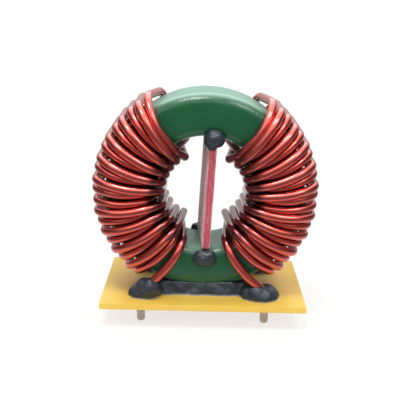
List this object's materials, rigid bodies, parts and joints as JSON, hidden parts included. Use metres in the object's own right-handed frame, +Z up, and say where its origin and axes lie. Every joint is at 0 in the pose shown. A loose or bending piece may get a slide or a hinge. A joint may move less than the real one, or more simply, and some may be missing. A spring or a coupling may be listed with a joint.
{
  "type": "toroidal inductor",
  "caption": "Toroidal common-mode inductor: a coated ferrite ring on edge with two enamelled wire windings, a divider across the bore and a base board with wire pins.",
  "frame": {"origin": "middle of the four pins, level with their tips, on which the part stands", "axes": "+Z up along the ring's diameter, Y along the ring's axis with the front at -Y, X along the base board's length"},
  "size_m": [0.0558, 0.0322, 0.0582],
  "materials": {
    "coated_ferrite": "green epoxy coat on ferrite, satin gloss with fine orange peel",
    "enamelled_copper": "red-brown polyurethane enamel over copper, glossy",
    "glass_epoxy_board": "yellow glass-epoxy laminate, satin, sawn edges",
    "fibre_divider": "dyed red pressed fibre sheet, matt, rough cut sides",
    "adhesive": "dark slate flexible adhesive, satin gloss",
    "tinned_copper": "dipped solder over copper, dull"
  },
  "bodies": {
    "root": {"toroid_core": "coated_ferrite", "left_winding": "enamelled_copper", "right_winding": "enamelled_copper", "base_plate": "glass_epoxy_board", "divider": "fibre_divider", "base_adhesive": "adhesive", "front_top_dab": "adhesive", "front_bottom_dab": "adhesive", "rear_top_dab": "adhesive", "rear_bottom_dab": "adhesive", "front_left_pin": "tinned_copper", "front_right_pin": "tinned_copper", "rear_left_pin": "tinned_copper", "rear_right_pin": "tinned_copper"}
  },
  "joints": []
}
